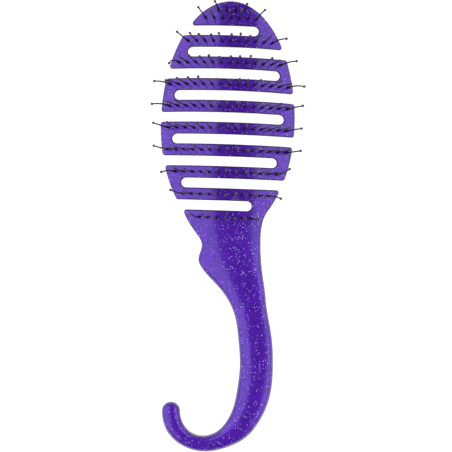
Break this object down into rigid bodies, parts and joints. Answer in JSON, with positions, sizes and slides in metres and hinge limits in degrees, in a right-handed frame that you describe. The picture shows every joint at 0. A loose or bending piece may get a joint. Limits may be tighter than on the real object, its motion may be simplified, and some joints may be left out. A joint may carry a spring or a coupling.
{
  "type": "vented detangling hair brush",
  "caption": "Flexible vented hair brush: an arched head of cross bars with rows of ball-tipped pins, on a moulded handle with a thumb rest and a hanging hook.",
  "frame": {"origin": "on the resting surface, under the middle of the brush's length and on the head's centre line", "axes": "+X across the head, +Y towards the head's tip, +Z out of the pin side; the brush lies on its back"},
  "size_m": [0.0802, 0.25, 0.0322],
  "materials": {
    "violet_glitter": "glossy, with fine silver and lilac flakes under the surface",
    "black_nylon": "satin drawn nylon",
    "bead_resin": "smooth dipped resin"
  },
  "bodies": {
    "handle": {"handle": "violet_glitter", "long_pins_neck": "black_nylon", "short_pins_neck": "black_nylon", "beads_neck": "bead_resin", "web_9": "violet_glitter"},
    "bar_8": {"bar_8": "violet_glitter", "long_pins_8": "black_nylon", "short_pins_8": "black_nylon", "beads_8": "bead_resin", "web_8": "violet_glitter"},
    "bar_7": {"bar_7": "violet_glitter", "long_pins_7": "black_nylon", "short_pins_7": "black_nylon", "beads_7": "bead_resin", "web_7": "violet_glitter"},
    "bar_6": {"bar_6": "violet_glitter", "long_pins_6": "black_nylon", "short_pins_6": "black_nylon", "beads_6": "bead_resin", "web_6": "violet_glitter"},
    "bar_5": {"bar_5": "violet_glitter", "long_pins_5": "black_nylon", "short_pins_5": "black_nylon", "beads_5": "bead_resin", "web_5": "violet_glitter"},
    "bar_4": {"bar_4": "violet_glitter", "long_pins_4": "black_nylon", "short_pins_4": "black_nylon", "beads_4": "bead_resin", "web_4": "violet_glitter"},
    "bar_3": {"bar_3": "violet_glitter", "long_pins_3": "black_nylon", "short_pins_3": "black_nylon", "beads_3": "bead_resin", "web_3": "violet_glitter"},
    "bar_2": {"bar_2": "violet_glitter", "long_pins_2": "black_nylon", "short_pins_2": "black_nylon", "beads_2": "bead_resin", "web_2": "violet_glitter"},
    "bar_1": {"bar_1": "violet_glitter", "long_pins_1": "black_nylon", "short_pins_1": "black_nylon", "beads_1": "bead_resin", "web_1": "violet_glitter"},
    "cap": {"cap": "violet_glitter", "long_pins_cap": "black_nylon", "short_pins_cap": "black_nylon", "beads_cap": "bead_resin"}
  },
  "joints": [
    {"name": "flex_9", "type": "hinge", "parent": "handle", "child": "bar_8", "pos_m": [0.01979, 0.01155, 0.01313], "axis": [1, 0, 0], "range_deg": [-2.5, 2.5], "stiffness_Nm_per_rad": 0.5, "deforming": ["web_9"]},
    {"name": "flex_8", "type": "hinge", "parent": "bar_8", "child": "bar_7", "pos_m": [-0.02784, 0.02365, 0.00986], "axis": [1, 0, 0], "range_deg": [-2.5, 2.5], "stiffness_Nm_per_rad": 0.5, "deforming": ["web_8"]},
    {"name": "flex_7", "type": "hinge", "parent": "bar_7", "child": "bar_6", "pos_m": [0.03129, 0.03575, 0.00778], "axis": [1, 0, 0], "range_deg": [-2.5, 2.5], "stiffness_Nm_per_rad": 0.5, "deforming": ["web_7"]},
    {"name": "flex_6", "type": "hinge", "parent": "bar_6", "child": "bar_5", "pos_m": [-0.03356, 0.04785, 0.00589], "axis": [1, 0, 0], "range_deg": [-2.5, 2.5], "stiffness_Nm_per_rad": 0.5, "deforming": ["web_6"]},
    {"name": "flex_5", "type": "hinge", "parent": "bar_5", "child": "bar_4", "pos_m": [0.03408, 0.05995, 0.00476], "axis": [1, 0, 0], "range_deg": [-2.5, 2.5], "stiffness_Nm_per_rad": 0.5, "deforming": ["web_5"]},
    {"name": "flex_4", "type": "hinge", "parent": "bar_4", "child": "bar_3", "pos_m": [-0.03317, 0.07205, 0.00425], "axis": [1, 0, 0], "range_deg": [-2.5, 2.5], "stiffness_Nm_per_rad": 0.5, "deforming": ["web_4"]},
    {"name": "flex_3", "type": "hinge", "parent": "bar_3", "child": "bar_2", "pos_m": [0.03114, 0.08415, 0.0041], "axis": [1, 0, 0], "range_deg": [-2.5, 2.5], "stiffness_Nm_per_rad": 0.5, "deforming": ["web_3"]},
    {"name": "flex_2", "type": "hinge", "parent": "bar_2", "child": "bar_1", "pos_m": [-0.02693, 0.09625, 0.00468], "axis": [1, 0, 0], "range_deg": [-2.5, 2.5], "stiffness_Nm_per_rad": 0.5, "deforming": ["web_2"]},
    {"name": "flex_1", "type": "hinge", "parent": "bar_1", "child": "cap", "pos_m": [0.02006, 0.10835, 0.00558], "axis": [1, 0, 0], "range_deg": [-2.5, 2.5], "stiffness_Nm_per_rad": 0.5, "deforming": ["web_1"]}
  ],
  "couplings": [
    {"joint": "flex_8", "follows": "flex_9", "ratio": 1},
    {"joint": "flex_7", "follows": "flex_9", "ratio": 1},
    {"joint": "flex_6", "follows": "flex_9", "ratio": 1},
    {"joint": "flex_5", "follows": "flex_9", "ratio": 1},
    {"joint": "flex_4", "follows": "flex_9", "ratio": 1},
    {"joint": "flex_3", "follows": "flex_9", "ratio": 1},
    {"joint": "flex_2", "follows": "flex_9", "ratio": 1},
    {"joint": "flex_1", "follows": "flex_9", "ratio": 1}
  ]
}
